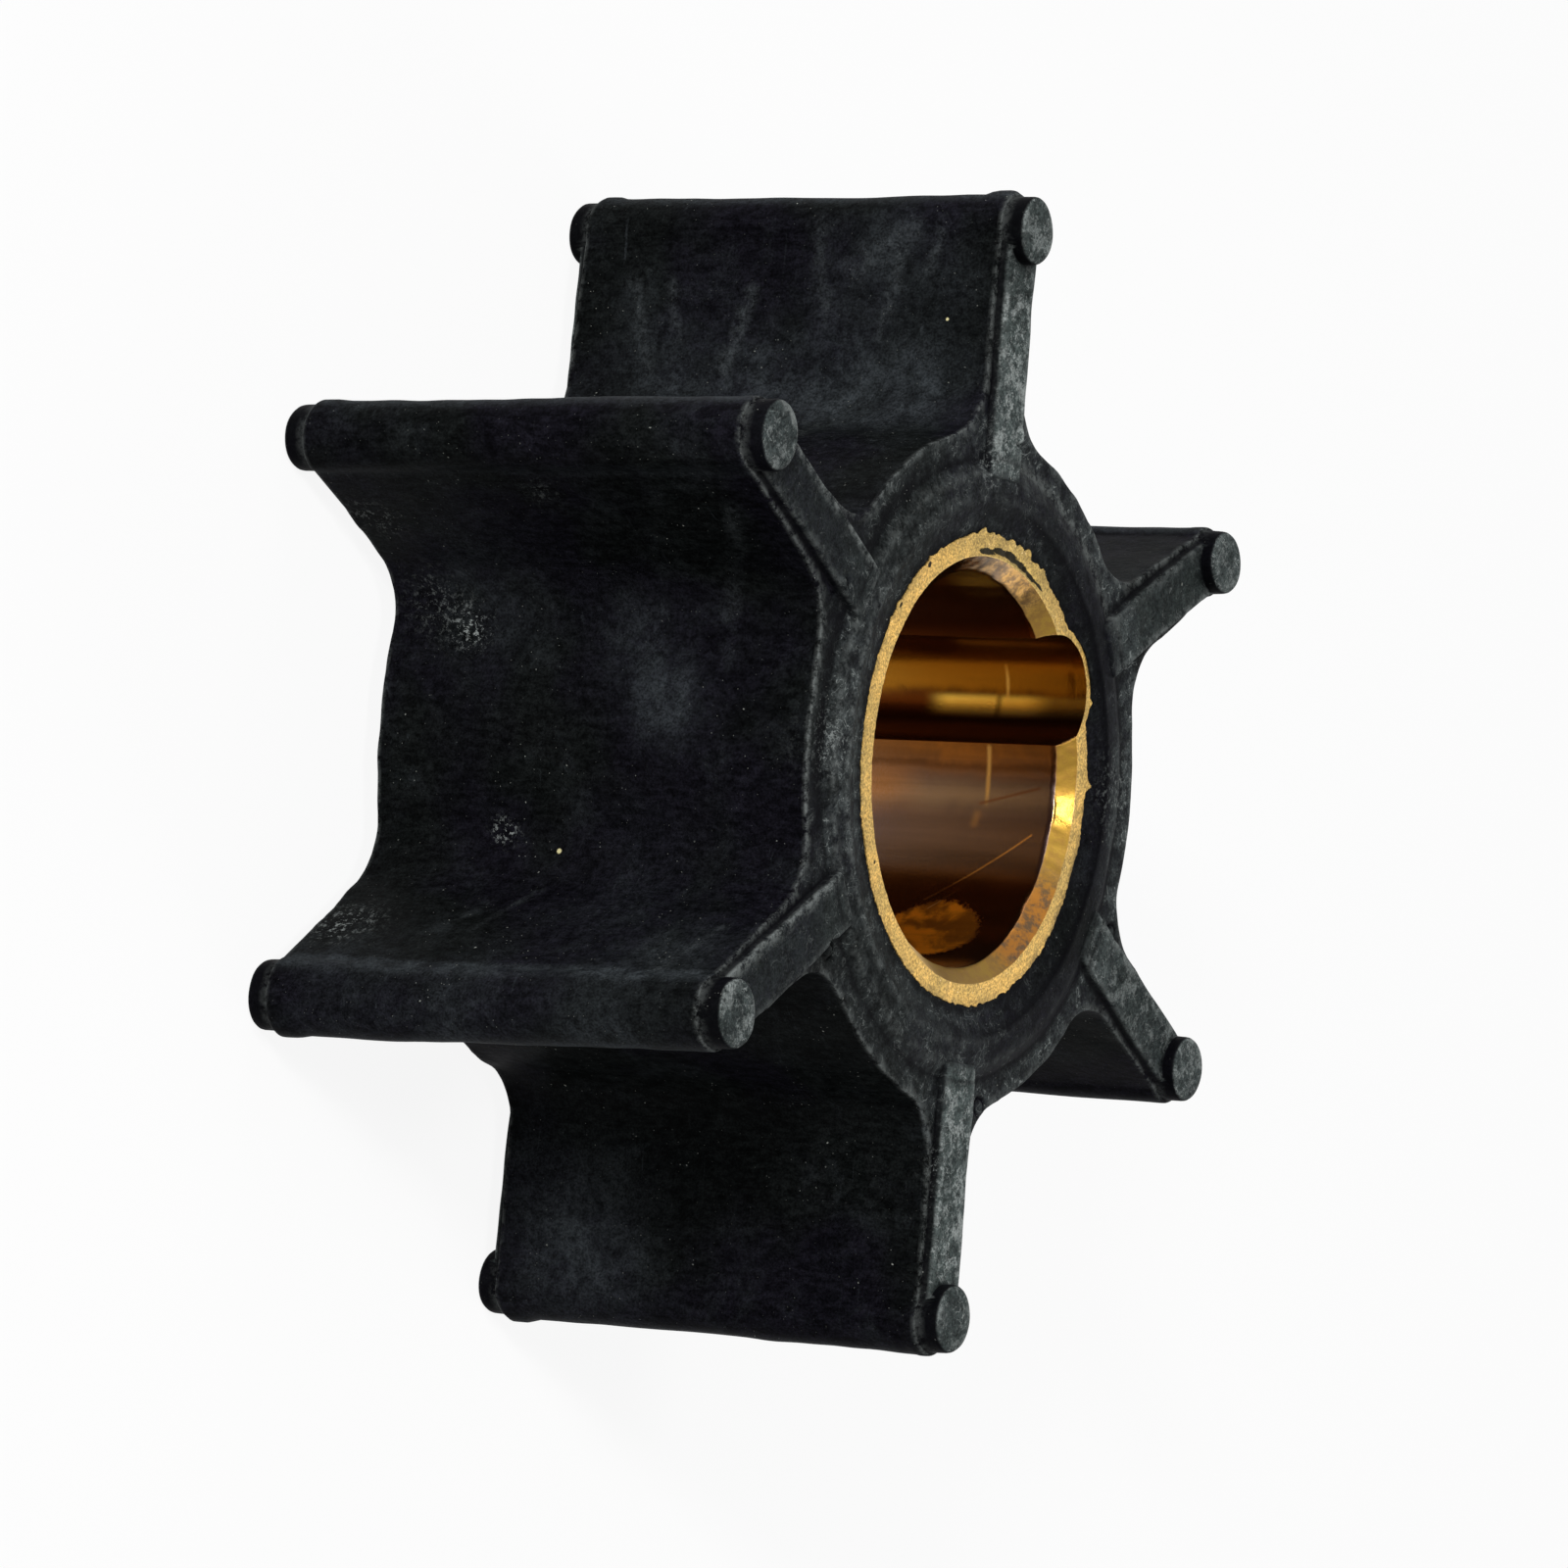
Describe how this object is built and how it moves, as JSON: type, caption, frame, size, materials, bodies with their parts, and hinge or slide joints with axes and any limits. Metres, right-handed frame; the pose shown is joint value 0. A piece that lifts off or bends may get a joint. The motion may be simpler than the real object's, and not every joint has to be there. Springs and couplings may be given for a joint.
{
  "type": "pump impeller",
  "caption": "Flexible-vane pump impeller: black rubber hub and radial vanes with end ribs and tip stubs, bonded on a brass sleeve with a keyed bore.",
  "frame": {"origin": "on the bore axis, in the plane that the lower end stubs stand on", "axes": "+Z along the shaft axis; +X through the keyway and the vane outside it; +Y completes a right-handed frame"},
  "size_m": [0.0662, 0.0578, 0.0307],
  "materials": {
    "rubber": "satin black moulded rubber, dusty and scuffed",
    "brass": "sawn end faces, polished chamfer, tarnished bore"
  },
  "bodies": {
    "root": {"rubber_moulding": "rubber", "brass_sleeve": "brass"}
  },
  "joints": []
}
